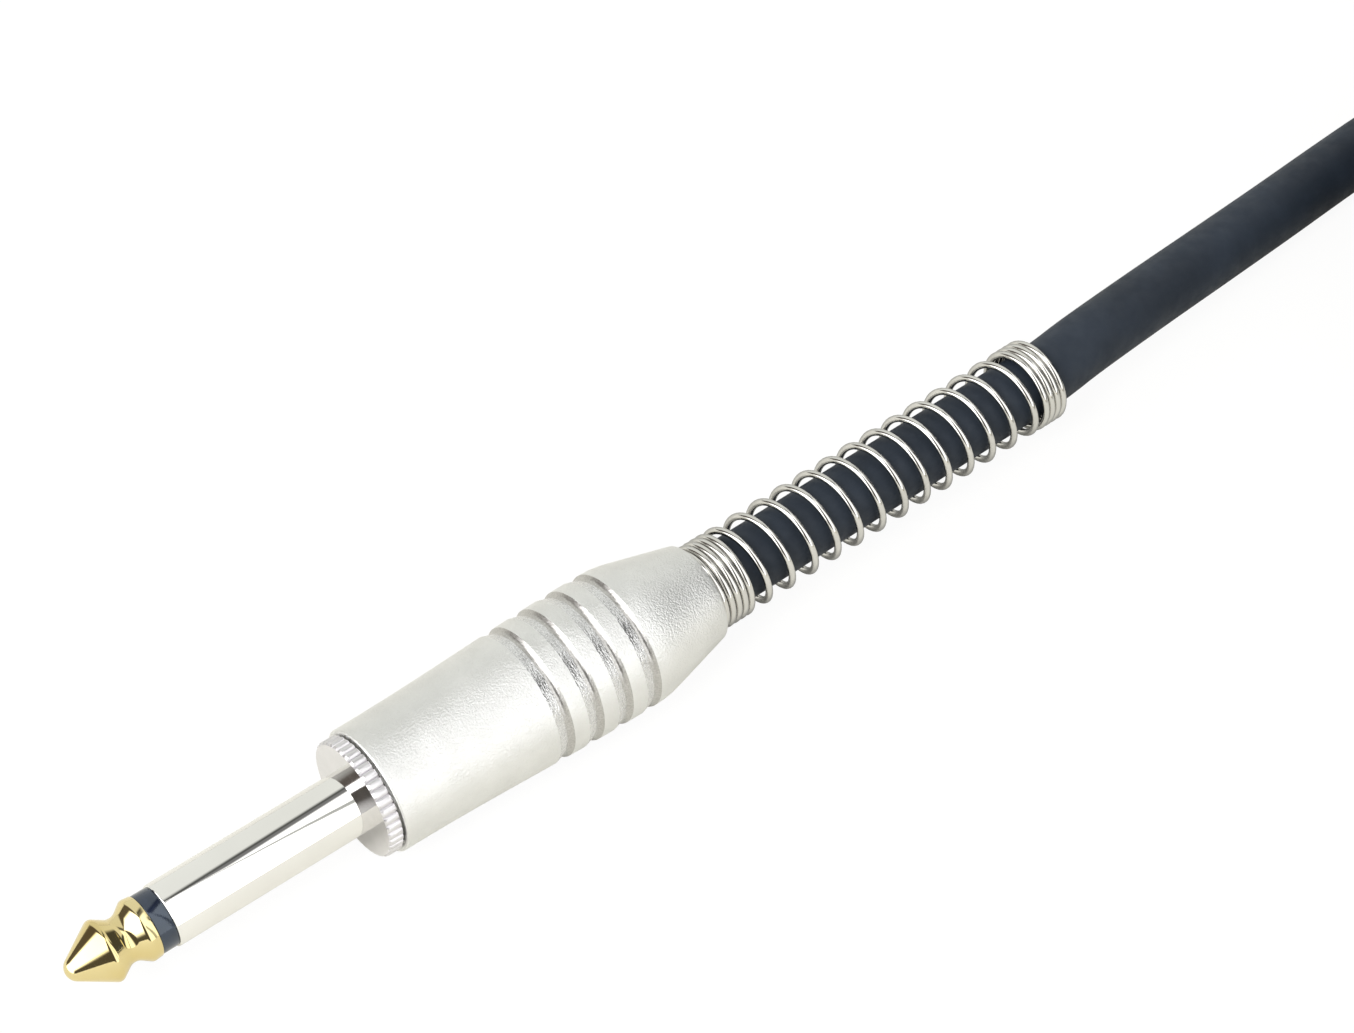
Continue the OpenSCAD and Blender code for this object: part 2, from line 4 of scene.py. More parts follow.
import bpy
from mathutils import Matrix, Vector


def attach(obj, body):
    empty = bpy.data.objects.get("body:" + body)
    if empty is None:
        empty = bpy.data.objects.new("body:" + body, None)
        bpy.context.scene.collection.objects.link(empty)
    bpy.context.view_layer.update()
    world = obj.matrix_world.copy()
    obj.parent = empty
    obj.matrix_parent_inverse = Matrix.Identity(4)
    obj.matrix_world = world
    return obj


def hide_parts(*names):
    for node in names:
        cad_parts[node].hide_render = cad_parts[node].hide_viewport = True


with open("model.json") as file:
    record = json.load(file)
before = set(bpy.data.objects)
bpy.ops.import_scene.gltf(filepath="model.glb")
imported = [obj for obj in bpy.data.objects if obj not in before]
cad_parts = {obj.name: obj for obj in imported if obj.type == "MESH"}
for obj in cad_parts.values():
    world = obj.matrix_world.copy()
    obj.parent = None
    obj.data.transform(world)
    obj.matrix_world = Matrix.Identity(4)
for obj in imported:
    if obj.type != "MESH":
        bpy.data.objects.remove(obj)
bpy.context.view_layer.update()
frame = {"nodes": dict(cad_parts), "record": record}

# Every length below is in millimetres in the row frame; meshes are scaled by MM. The sizes that show were
# measured in the photo against the shaft's 6.35 mm.
MM = 0.001
PLUG_OFFSETS = {"": (0.0, 0.0, 0.0), "far_": (98.0, -66.4, 0.0)}
ROOT = "plug_and_cable"

# Camera, fitted to the axis, the outlines and the ellipses of the plug in the photo
CAMERA_MM = (-93.88, -167.09, 253.44)
CAMERA_TILT_DEG = 90 - 48.471
CAMERA_TURN_DEG = -38.364
CAMERA_LENS = 90.4
SENSOR_WIDTH = 36
CLIP_START_M = 0.01

# Meshes: the most of an edge that a fillet takes, and how fine they are
FILLET_REACH = 0.49
ROUND_SIDES = 96
BARREL_SIDES = 128
WIRE_SIDES = 14
WIRE_RINGS_PER_TURN = 44
CABLE_SIDES = 24
CABLE_SPACING = 1.6

# Plug shaft: x runs from the collar's face at 0, towards the cable; _R are radii, _L lengths, and _EDGE,
# _FOOT and _FILLET the radii of rounded edges
NOSE_X = -31.0
NOSE_R = 1.3
TIP_R = 3.15
TIP_EDGE_R = 0.6
TIP_WIDEST_X = -26.95
TIP_NECK_X = -25.1
TIP_NECK_R = 2.3
TIP_NECK_FILLET = 1.2
TIP_FLANGE_X = -23.35
TIP_REAR_X = -22.6
TIP_REAR_R = 3.08
TIP_REAR_EDGE = 0.1
NOSE_STEPS = 12
WIDEST_STEPS = 10
NECK_STEPS = 16
FLANGE_STEPS = 8
SLEEVE_L = 20.9
SHAFT_R = 3.175
SLEEVE_EDGE = 0.12
RING_R = 3.0
RING_EDGE = 0.08
ROD_R = 1.2
ROD_HOLE_R = 1.25
ROD_TUBE_R = 2.05
SLEEVE_BORE_R = 2.1
SPIGOT_L = 4.0
ROD_END_X = 10.6
RIVET_R = 1.8
RIVET_L = 0.8
RIVET_FOOT = 0.15
RIVET_EDGE = 0.35

# Collar and boss
COLLAR_R = 6.125
COLLAR_T = 1.5
KNURL_TEETH = 40
KNURL_DEPTH = 0.32
COLLAR_CHAMFER = 0.2
COLLAR_REAR_CHAMFER = 0.06
# Places of a knurl tooth's ring angles in its width, and their share of the tooth's height
TOOTH_PLACES = (0.0, 0.1, 0.2, 0.34, 0.5, 0.66, 0.8, 0.9)
TOOTH_HEIGHTS = (0.0, 0.5, 0.8, 0.95, 1.0, 0.95, 0.8, 0.5)
BOSS_END_X = 8.5
# Thread on the boss; its steps are rings in a pitch
BOSS_THREAD_X = (2.1, 8.3)
BOSS_THREAD_RUNOUT = 0.4
BOSS_THREAD_STEPS = 10
THREAD_PITCH = 0.75
THREAD_CREST_R = 5.18
THREAD_ROOT_R = 4.78
# Shares of a thread's turn: half of each flat, and each flank
THREAD_HALF_FLAT = 0.05
THREAD_FLANK = 0.4

# Barrel
BARREL_X = 1.7
BARREL_END_X = 40.6
BARREL_FRONT_R = 6.5
BARREL_R = 7.27
BARREL_LIP = 0.12
BARREL_LIP_EDGES = (0.05, 0.12)
# Places of the rings between and beside the grooves
BARREL_STATIONS = [3.0 + i for i in range(36)] + [38.6, 39.4]
# Where the outside starts to bend into the taper, and the bend's radius
SHOULDER_X = 31.0
SHOULDER_R = 11.0
TAPER_DEG = 14
BARREL_REAR_R = 5.21
BARREL_REAR_EDGE = 0.2
# Grip grooves: a floor that slopes down towards a steep rear wall
GROOVES_X = (19.8, 23.2, 26.6, 30.0)
GROOVE_DEPTH = 0.4
GROOVE_HALF_W = 0.85
GROOVE_MARGIN = 0.25
GROOVE_REAR_WALL = 0.42
GROOVE_FRONT_EDGE = 0.15
GROOVE_FLOOR_BLEND = 0.5
GROOVE_REAR_EDGE = 0.06
# Inside of the barrel, from the shoulder that holds the spring to the thread at the mouth
INNER_SHOULDER_X = 36.9
NECK_BORE_R = 4.8
NECK_BORE_EDGE = 0.1
BARREL_BORE_R = 5.45
BARREL_MOUTH_R = 5.55
THREAD_BORE_R = 5.25
THREAD_BORE_DEPTH = 0.35
THREAD_START_X = 1.8
THREAD_END_X = 6.7
BORE_THREAD_RUNOUT = 0.3
BORE_THREAD_STEPS = 8

# Spring: wide seat turns inside the barrel, close turns, open turns, close end turns; the coil radii are
# those of the wire's centre line
WIRE_R = 0.375
OPEN_PITCH = 2.97
CLOSE_PITCH = 0.787
COIL_R = 4.26
NECK_COIL_R = 4.2
SEAT_COIL_R = 4.75
SEAT_START_X = 34.07
SEAT_END_X = 36.26
OPEN_START_X = 44.6
OPEN_TURNS = 13
SPRING_END_X = 86.46
SPRING_LEAN = 0.0163
# One place of the wire that shows in the photo: its angle round the axis at its x
OPEN_PHASE_DEG = 124.7
OPEN_PHASE_X = 46.12
# Turns over which the pitch changes at each side of a corner, and the radius behind the seat
PITCH_EASE_TURNS = 0.35
SEAT_EASE_TURNS = 0.6
# How far the wire's surface turns from the view where its painted edge shade starts and ends to darken
RIM_SHADE_FACING = (0.45, 0.80)

# Cable
CABLE_D = 6.9
CABLE_R = CABLE_D / 2
FLOOR_Z = -7.27
CABLE_Z = FLOOR_Z + CABLE_R
JACKET_X = 21.0
# Turn behind the hank, back to the far plug: its steps, and where it ends beside the plug's axis
RETURN_STEPS = 9
RETURN_END_Y = 1.0

# Hank: seven loops in four layers, round two ends that are RUN_L apart; its waist is drawn in under the tie
HANK_X = 158.0
HANK_Y = -23.8
RUN_L = 65.0
INNER_R = 18.9
LOOP_STEP = 7.6
LAYER_STEP = 7.4
TOP_LAYER = 3
WAIST_DRAW = 6.0
RINGS_PER_LOOP = 24
RING_TURN_DEG = 22.5
FIRST_RING = 4
LAST_RING = 176
# Loops after which the line is on its outermost runs, at the low and the high side
OUTER_LOW_LOOP = 3.75
OUTER_HIGH_LOOP = 3.25

# Tie round the hank
TIE_W = 12.0
TIE_T = 1.4
TIE_GAP = 0.35
TIE_CORNER_R = 4.0
TIE_OVERLAP = 26.0
TIE_ARC_STEPS = 8
TIE_RING_SPACING = 2.0
TIE_SIDE_BEVEL = 0.3
TIE_FACE_BEVEL = 0.35
KNIT_PER_MM = 2.4
# Least share of the waist's draw under the tie, and the lift that brings the waist to lie on the tie
TIE_EDGE_WAIST = 1 - TIE_W / RUN_L
WAIST_LIFT = (TIE_T + TIE_GAP) / TIE_EDGE_WAIST
# Tongue at the tie's free end, lying on the strap with a slight wave
TONGUE_STEPS = 26
TONGUE_THINNING = 0.12
TONGUE_REST = 0.02
TONGUE_WAVE = 0.10
TONGUE_WAVES_RAD = 9
TONGUE_ROUND_FROM = 0.82
TONGUE_END_SHARE = 0.02
TONGUE_WIDTH_SHARE = 0.985
TONGUE_SIDE_BEVEL = 0.25
TONGUE_FACE_BEVEL = 0.3

# Studio round the object: (degrees round the zenith from +X, light), blended from one to the next.
# The light is that of the glossy reflections; matt surfaces are lit by PLAIN_LIGHT and the key lamp.
BACK_PANEL = (0.89, 0.90, 0.86)
LEFT_PANEL = (3.2, 3.2, 3.2)
FRONT_PANEL = (1.8, 1.8, 1.8)
GREY_STRIP = (0.50, 0.51, 0.49)
DARK_BACK = (0.13, 0.11, 0.095)
DARK_FRONT = (0.10, 0.09, 0.08)
STUDIO = (
    (-180, LEFT_PANEL), (-156, LEFT_PANEL), (-146, DARK_FRONT), (-112, DARK_FRONT),
    (-99, FRONT_PANEL), (-67, FRONT_PANEL), (-66, GREY_STRIP), (-61, GREY_STRIP), (-60, FRONT_PANEL),
    (34, FRONT_PANEL), (42, BACK_PANEL), (103, BACK_PANEL), (112, DARK_BACK), (132, DARK_BACK),
    (142, LEFT_PANEL), (180, LEFT_PANEL),
)
STUDIO_PEAK = 3.2
# Room on the right, seen where the direction's x component is over RIGHT_EDGE
PALE_WALL = (1.60, 1.60, 1.57)
DARK_DOOR = (0.07, 0.07, 0.07)
GREY_WALL = (1.04, 1.05, 1.02)
RIGHT_ROOM = (
    (-180, PALE_WALL), (-37, PALE_WALL), (-30, DARK_DOOR), (-17, DARK_DOOR), (-8, GREY_WALL),
    (60, BACK_PANEL), (180, BACK_PANEL),
)
RIGHT_EDGE = (0.42, 0.58)
# Dark patch round +X, where the x component is over PATCH_EDGE
DARK_PATCH = (0.08, 0.08, 0.075)
PATCH_EDGE = (0.83, 0.90)
# Dark gap over the object, running out from the zenith at GAP_DEGREES; it fades at its sides and its start
GAP_DEGREES = 38.0
GAP_TILT = 0.018
GAP_SIDE = (0.05, 0.20)
GAP_START = (-0.05, 0.05)
GAP_LIGHT = 0.12
# What matt surfaces and the camera see instead of the studio
PLAIN_LIGHT = (0.64, 0.64, 0.64)
WHITE = (1.0, 1.0, 1.0)
# Key lamp
KEY_MM = (-480, -200, 560)
KEY_AIM_MM = (60, 0, 0)
KEY_SIZE_MM = 240
KEY_WATTS = 4.0
# Floor; the camera sees it nearly white, with a little of its shadow
FLOOR_HALF = 3000.0
FLOOR_SEEN_SHARE = 0.90
FLOOR_SEEN_LIGHT = 1.035


# ---------------------------------------------------------------- camera
def add_camera():
    camera = bpy.data.cameras.new("camera")
    camera.lens = CAMERA_LENS
    camera.sensor_width = SENSOR_WIDTH
    camera.clip_start = CLIP_START_M
    holder = bpy.data.objects.new("camera", camera)
    holder.location = Vector(CAMERA_MM) * MM
    holder.rotation_euler = (math.radians(CAMERA_TILT_DEG), 0, math.radians(CAMERA_TURN_DEG))
    bpy.context.scene.collection.objects.link(holder)
    bpy.context.scene.camera = holder


# ---------------------------------------------------------------- meshes
def mesh_of(name, points, faces, materials, face_slots=None, sharp_deg=35):
    """Smooth-shaded mesh from points in millimetres, sharp where it bends by more than sharp_deg."""
    mesh = bpy.data.meshes.new(name)
    mesh.from_pydata([Vector(p) * MM for p in points], [], faces)
    for material in materials:
        mesh.materials.append(material)
    if face_slots:
        mesh.polygons.foreach_set("material_index", face_slots)
    mesh.shade_smooth()
    mesh.set_sharp_from_angle(angle=math.radians(sharp_deg))
    mesh.update()
    return mesh


def place(name, mesh, body, nodes, offset=(0, 0, 0)):
    """Piece of the visual model that rides on a body and replaces nodes of the row."""
    piece = bpy.data.objects.new(name, mesh)
    piece.location = Vector(offset) * MM
    bpy.context.scene.collection.objects.link(piece)
    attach(piece, body)
    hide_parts(*nodes)
    return piece


def filleted(corners, closed, steps):
    """Outline of (x, r, slot) points from (x, r, fillet, slot) corners, with an arc at each fillet."""
    outline = []
    last = len(corners) - 1
    for i, (x, r, fillet, slot) in enumerate(corners):
        here = Vector((x, r))
        if fillet <= 0 or (not closed and i in (0, last)):
            outline.append((x, r, slot))
            continue
        before = Vector(corners[i - 1][:2]) - here
        after = Vector(corners[(i + 1) % len(corners)][:2]) - here
        half = before.angle(after) / 2
        reach = min(
            fillet / math.tan(half), FILLET_REACH * before.length, FILLET_REACH * after.length)
        start = here + before.normalized() * reach
        end = here + after.normalized() * reach
        radius = reach * math.tan(half)
        centre = here + (before.normalized() + after.normalized()).normalized() * radius / math.sin(half)
        first = start - centre
        opening = first.angle_signed(end - centre)
        for k in range(steps + 1):
            a = -opening * k / steps
            turned = Vector((
                first.x * math.cos(a) - first.y * math.sin(a),
                first.x * math.sin(a) + first.y * math.cos(a),
            ))
            point = centre + turned
            outline.append((point.x, point.y, slot))
    return outline


def lathe(name, outline, closed, materials, angles, radius=None, sharp_deg=35):
    """Mesh turned about the X axis from an outline of (x, r, material slot) points.

    radius(x, r, angle) may change a point's radius.
    """
    points, rings, faces, slots = [], [], [], []
    for x, r, _slot in outline:
        if r < 1e-6:
            rings.append([len(points)])
            points.append((x, 0, 0))
            continue
        ring = []
        for a in angles:
            ring_r = radius(x, r, a) if radius else r
            ring.append(len(points))
            points.append((x, ring_r * math.cos(a), ring_r * math.sin(a)))
        rings.append(ring)
    count = len(angles)
    spans = len(rings) if closed else len(rings) - 1
    for i in range(spans):
        one, two = rings[i], rings[(i + 1) % len(rings)]
        for k in range(count):
            n = (k + 1) % count
            if len(one) == 1:
                faces.append((one[0], two[k], two[n]))
            elif len(two) == 1:
                faces.append((one[n], one[k], two[0]))
            else:
                faces.append((one[n], one[k], two[k], two[n]))
            slots.append(outline[i][2])
    return mesh_of(name, points, faces, materials, slots, sharp_deg)


def even_angles(count):
    return [2 * math.pi * k / count for k in range(count)]


def band(rings, closed):
    """Points and faces of a band through rings of points, capped at both ends if it isn't closed."""
    count, width = len(rings), len(rings[0])
    points = [point for ring in rings for point in ring]
    faces = []
    for i in range(count if closed else count - 1):
        a, b = i * width, (i + 1) % count * width
        for k in range(width):
            n = (k + 1) % width
            faces.append((a + k, a + n, b + n, b + k))
    if not closed:
        faces.append(tuple(reversed(range(width))))
        faces.append(tuple(range((count - 1) * width, count * width)))
    return points, faces


def sweep(name, path, radius, sides, materials, end_round, sharp_deg=40):
    """Round tube along a path, with a frame carried along it and slightly rounded ends."""
    path = [Vector(p) for p in path]
    last = len(path) - 1
    headings = [
        (path[min(i + 1, last)] - path[max(i - 1, 0)]).normalized() for i in range(last + 1)
    ]
    bevel = radius * end_round
    stations = [(point, heading, radius) for point, heading in zip(path, headings)]
    stations[0] = (path[0] + headings[0] * bevel, headings[0], radius)
    stations[last] = (path[last] - headings[last] * bevel, headings[last], radius)
    stations.insert(0, (path[0], headings[0], radius - bevel))
    stations.append((path[last], headings[last], radius - bevel))
    side = headings[0].orthogonal().normalized()
    rings = []
    for centre, heading, size in stations:
        side = (side - heading * side.dot(heading)).normalized()
        across = heading.cross(side)
        rings.append([
            centre + (side * math.cos(a) + across * math.sin(a)) * size for a in even_angles(sides)
        ])
    points, faces = band(rings, closed=False)
    return mesh_of(name, points, faces, materials, sharp_deg=sharp_deg)


# ---------------------------------------------------------------- cable route
def loop_r(t):
    """Radius of the hank's line after t loops: it falls for two loops and grows for two."""
    return INNER_R + LOOP_STEP * abs((t + 0.25) % 4 - 2)


def loop_z(t):
    """Height after t loops: one layer up in the last half of every second loop."""
    share = max(0.0, (t % 2 - 1.5) / 0.5)
    climb = (1 - math.cos(math.pi * share)) / 2
    return CABLE_Z + LAYER_STEP * (math.floor(t / 2) + climb)


def waist(s):
    """Share of the waist's draw at a place on a straight run, s from 0 to 1."""
    return (1 - math.cos(2 * math.pi * s)) / 2


def loop_point(k):
    """Point of the hank's line, k rings from its start.

    A loop is a quarter turn of 4 rings, a straight run of 4, a half turn of 8, a run of 4 and a
    quarter turn of 4.
    """
    t = k / RINGS_PER_LOOP
    j = k % RINGS_PER_LOOP
    r, z = loop_r(t), loop_z(t)
    ring_turn = math.radians(RING_TURN_DEG)
    if j < 4:
        a = ring_turn * j
        return (HANK_X - r * math.cos(a), HANK_Y + r * math.sin(a), z)
    if j <= 8:
        s = (j - 4) / 4
        w = waist(s)
        return (HANK_X + RUN_L * s, HANK_Y + r - WAIST_DRAW * w, z + WAIST_LIFT * w)
    if j < 16:
        a = ring_turn * (j - 8)
        return (HANK_X + RUN_L + r * math.sin(a), HANK_Y + r * math.cos(a), z)
    if j <= 20:
        s = (j - 16) / 4
        w = waist(s)
        return (HANK_X + RUN_L * (1 - s), HANK_Y - r + WAIST_DRAW * w, z + WAIST_LIFT * w)
    a = ring_turn * (j - 20)
    return (HANK_X - r * math.sin(a), HANK_Y - r * math.cos(a), z)


def cable_points():
    """Centre line of the whole cable, from the near plug's jacket end to the far plug's."""
    hank_r = loop_r(FIRST_RING / RINGS_PER_LOOP)
    top_z = CABLE_Z + TOP_LAYER * LAYER_STEP
    run = [
        (JACKET_X, 0, 0), (34, 0, 0), (46, 0.05, 0), (60, 0.3, 0), (74, 0.52, 0), (87, 0.77, 0),
        (93, 1.45, -0.1), (103, 2.6, -0.75), (115, 4.05, -1.9), (126, 5.4, -2.95),
        (136, 6.52, -3.6), (HANK_X - 2 * CABLE_D, HANK_Y + hank_r, CABLE_Z),
        (HANK_X - CABLE_D, HANK_Y + hank_r, CABLE_Z),
    ]
    hank = [loop_point(k) for k in range(FIRST_RING, LAST_RING + 1)]
    turn_x = HANK_X + RUN_L + CABLE_D
    turn_y = PLUG_OFFSETS["far_"][1] + RETURN_END_Y
    turn_r = (HANK_Y + hank_r - turn_y) / 2
    turn = [(turn_x, HANK_Y + hank_r, top_z)]
    for i in range(RETURN_STEPS + 1):
        a = math.pi * i / RETURN_STEPS
        fall = (1 + math.cos(a)) / 2
        turn.append((
            turn_x + CABLE_D + turn_r * math.sin(a),
            turn_y + turn_r * (1 + math.cos(a)),
            CABLE_Z + (top_z - CABLE_Z) * fall,
        ))
    far = [
        (126, 0.95, -3.7), (115, 0.92, -3.05), (105, 0.9, -1.8), (95, 0.86, -0.55), (87, 0.77, 0),
        (74, 0.52, 0), (60, 0.3, 0), (46, 0.05, 0), (34, 0, 0), (JACKET_X, 0, 0),
    ]
    ox, oy, oz = PLUG_OFFSETS["far_"]
    return run + hank + turn + [(x + ox, y + oy, z + oz) for x, y, z in far]


def smoothed(points, spacing):
    """Points at an even spacing along a centripetal spline through the given ones."""
    knots = [Vector(p) for p in points]
    padded = [knots[0] * 2 - knots[1]] + knots + [knots[-1] * 2 - knots[-2]]
    fine = []
    for i in range(1, len(padded) - 2):
        p0, p1, p2, p3 = padded[i - 1:i + 3]
        t1 = max((p1 - p0).length, 1e-6) ** 0.5
        t2 = t1 + (p2 - p1).length ** 0.5
        t3 = t2 + max((p3 - p2).length, 1e-6) ** 0.5
        steps = max(4, int((p2 - p1).length / spacing * 2))
        for n in range(steps):
            t = t1 + (t2 - t1) * n / steps
            a1 = p0 * ((t1 - t) / t1) + p1 * (t / t1)
            a2 = p1 * ((t2 - t) / (t2 - t1)) + p2 * ((t - t1) / (t2 - t1))
            a3 = p2 * ((t3 - t) / (t3 - t2)) + p3 * ((t - t2) / (t3 - t2))
            b1 = a1 * ((t2 - t) / t2) + a2 * (t / t2)
            b2 = a2 * ((t3 - t) / (t3 - t1)) + a3 * ((t - t1) / (t3 - t1))
            fine.append(b1 * ((t2 - t) / (t2 - t1)) + b2 * ((t - t1) / (t2 - t1)))
    fine.append(knots[-1])
    even, carried = [fine[0]], 0.0
    for a, b in zip(fine, fine[1:]):
        step = (b - a).length
        while carried + step >= spacing:
            share = (spacing - carried) / step
            a = a.lerp(b, share)
            even.append(a)
            step = (b - a).length
            carried = 0.0
        carried += step
    even[-1] = fine[-1]
    return even


# ---------------------------------------------------------------- materials
def add_node(tree, kind, inputs=None, **settings):
    """New node with its settings, whose inputs are given as values or as outputs to link."""
    node = tree.nodes.new(kind)
    for name, value in settings.items():
        setattr(node, name, value)
    for name, value in (inputs or {}).items():
        if isinstance(value, bpy.types.NodeSocket):
            tree.links.new(value, node.inputs[name])
        else:
            node.inputs[name].default_value = value
    return node


class Finish:
    """A material's node tree round one Principled shader."""

    def __init__(self, name, **values):
        self.material = bpy.data.materials.new(name)
        self.material.use_nodes = True
        self.tree = self.material.node_tree
        self.shader = self.tree.nodes["Principled BSDF"]
        for socket, value in values.items():
            self.shader.inputs[socket.replace("_", " ")].default_value = value
        self.position = self.node("ShaderNodeTexCoord").outputs["Object"]

    def node(self, kind, inputs=None, **settings):
        return add_node(self.tree, kind, inputs, **settings)

    def link(self, output, socket):
        self.tree.links.new(output, self.shader.inputs[socket])

    def noise(self, scale_per_mm, detail=2.0, roughness=0.5, stretch=None):
        """Noise with its size given in features per millimetre."""
        position = self.position
        if stretch:
            position = self.node(
                "ShaderNodeMapping", {"Vector": position, "Scale": stretch}).outputs[0]
        return self.node("ShaderNodeTexNoise", {
            "Vector": position, "Scale": scale_per_mm / MM, "Detail": detail, "Roughness": roughness,
        }).outputs["Fac"]

    def spread(self, value, low, high, dark=0.35, light=0.65):
        """The value between dark and light, mapped to a range from low to high."""
        return self.node("ShaderNodeMapRange", {
            "Value": value, "From Min": dark, "From Max": light, "To Min": low, "To Max": high,
        }).outputs["Result"]

    def between(self, value, colour_a, colour_b, dark=0.35, light=0.65):
        """Colour between two, as the value goes from dark to light."""
        ramp = self.node("ShaderNodeValToRGB", {"Fac": value})
        ramp.color_ramp.elements[0].position = dark
        ramp.color_ramp.elements[0].color = (*colour_a, 1)
        ramp.color_ramp.elements[1].position = light
        ramp.color_ramp.elements[1].color = (*colour_b, 1)
        return ramp.outputs["Color"]

    def bump(self, height, depth_mm, strength=1.0, normal=None):
        """Surface raised by a height, on top of another normal if one is given."""
        inputs = {"Height": height, "Distance": depth_mm * MM, "Strength": strength}
        if normal:
            inputs["Normal"] = normal
        return self.node("ShaderNodeBump", inputs).outputs["Normal"]


def polished_metal(name, colour_a, colour_b, rough_low, rough_high, ring_depth=0.0004, rim_shade_colour=None):
    """Plated, polished turned metal: faint turning rings and a slightly uneven polish.

    A thin wire's flanks, where they turn away from the view, go over to a dark colour: painted shade for
    the crevices between the coils.
    """
    finish = Finish(name, Metallic=1.0)
    colour = finish.between(finish.noise(0.12), colour_a, colour_b)
    # painted shade: the wire darkens as it turns from the view, standing in for the shade between the coils
    if rim_shade_colour:
        facing = finish.node("ShaderNodeLayerWeight", {"Blend": 0.5}).outputs["Facing"]
        share = finish.spread(facing, 0.0, 1.0, *RIM_SHADE_FACING)
        colour = finish.node("ShaderNodeMixRGB", {
            "Fac": share, "Color1": colour, "Color2": (*rim_shade_colour, 1),
        }).outputs["Color"]
    finish.link(colour, "Base Color")
    finish.link(finish.spread(finish.noise(0.35, detail=3.0), rough_low, rough_high), "Roughness")
    rings = finish.noise(6.0, detail=2.0, stretch=(1.0, 0.002, 0.002))
    waves = finish.bump(finish.noise(0.3, detail=1.0), 0.004)
    finish.link(finish.bump(rings, ring_depth, normal=waves), "Normal")
    return finish.material


def satin_metal():
    """Fine blasted nickel plate: a dense matt grain, a little uneven in tone."""
    finish = Finish("satin nickel", Metallic=1.0)
    tone = finish.between(finish.noise(0.25, detail=3.0), (0.765, 0.765, 0.75), (0.825, 0.825, 0.81))
    finish.link(tone, "Base Color")
    finish.link(finish.spread(finish.noise(0.6, detail=3.0), 0.30, 0.36), "Roughness")
    grain = finish.bump(finish.noise(4.5, detail=3.0, roughness=0.6), 0.09)
    finish.link(grain, "Normal")
    return finish.material


def groove_nickel_with_painted_shade(name, colour_a, colour_b, rough_low, rough_high, mark_depth):
    """Bright turned surface of a grip groove, with fine marks left by the tool, in darker tones than the
    barrel: painted shade inside the groove.
    """
    finish = Finish(name, Metallic=1.0)
    finish.link(finish.between(finish.noise(6.0, detail=2.0), colour_a, colour_b), "Base Color")
    finish.link(finish.spread(finish.noise(2.5, detail=2.0), rough_low, rough_high), "Roughness")
    marks = finish.noise(5.5, detail=2.0, stretch=(1.0, 0.4, 0.4))
    finish.link(finish.bump(marks, mark_depth), "Normal")
    return finish.material


def collar_metal(name, colour_a, colour_b, rough_low, rough_high):
    """Nickel plate of the collar, a little pinker than the shaft's."""
    finish = Finish(name, Metallic=1.0)
    finish.link(finish.between(finish.noise(0.6), colour_a, colour_b), "Base Color")
    finish.link(finish.spread(finish.noise(1.5, detail=3.0), rough_low, rough_high), "Roughness")
    finish.link(finish.bump(finish.noise(3.0, detail=2.0), 0.003), "Normal")
    return finish.material


def gold_plate():
    return polished_metal("gold plate", (0.70, 0.56, 0.235), (0.81, 0.69, 0.37), 0.04, 0.09)


def moulded(name, colour_a, colour_b, rough_low, rough_high, **values):
    """Moulded plastic with a fine, shallow grain."""
    finish = Finish(name, **values)
    finish.link(finish.between(finish.noise(0.8, detail=3.0), colour_a, colour_b), "Base Color")
    finish.link(finish.spread(finish.noise(2.0, detail=3.0), rough_low, rough_high), "Roughness")
    finish.link(finish.bump(finish.noise(8.0, detail=2.0), 0.004), "Normal")
    return finish.material


def jacket():
    """Extruded matt cable jacket: blue-black, with faint draw lines and a soft sheen."""
    finish = Finish("cable jacket", IOR=1.42)
    cloud = finish.noise(0.10, detail=4.0, roughness=0.6)
    colour = finish.between(cloud, (0.0125, 0.0178, 0.0265), (0.0205, 0.0285, 0.0415))
    finish.link(colour, "Base Color")
    finish.link(finish.spread(finish.noise(0.6, detail=4.0), 0.58, 0.72), "Roughness")
    fine = finish.bump(finish.noise(5.0, detail=3.0), 0.012)
    finish.link(finish.bump(finish.noise(0.22, detail=2.0), 0.10, normal=fine), "Normal")
    return finish.material


def strap():
    """Hook-and-loop strap: black knitted loops."""
    finish = Finish("tie fabric", Sheen_Weight=0.08, Sheen_Roughness=0.5)
    loops = finish.node(
        "ShaderNodeTexVoronoi", {"Vector": finish.position, "Scale": KNIT_PER_MM / MM})
    distance = loops.outputs["Distance"]
    colour = finish.between(distance, (0.024, 0.024, 0.027), (0.007, 0.007, 0.008), 0.1, 0.6)
    finish.link(colour, "Base Color")
    finish.link(finish.spread(finish.noise(1.5, detail=3.0), 0.75, 0.95), "Roughness")
    knit = finish.bump(distance, 0.12, strength=0.7)
    finish.link(finish.bump(finish.noise(6.0, detail=3.0), 0.05, normal=knit), "Normal")
    return finish.material


def copper_wire():
    """Bare stranded copper: fine lines along the strands."""
    finish = Finish("copper", Metallic=1.0)
    strands = finish.noise(5.0, detail=2.0, stretch=(0.15, 1.0, 1.0))
    finish.link(finish.between(strands, (0.60, 0.30, 0.18), (0.90, 0.52, 0.36)), "Base Color")
    finish.link(finish.spread(finish.noise(1.5), 0.22, 0.38), "Roughness")
    finish.link(finish.bump(strands, 0.05), "Normal")
    return finish.material


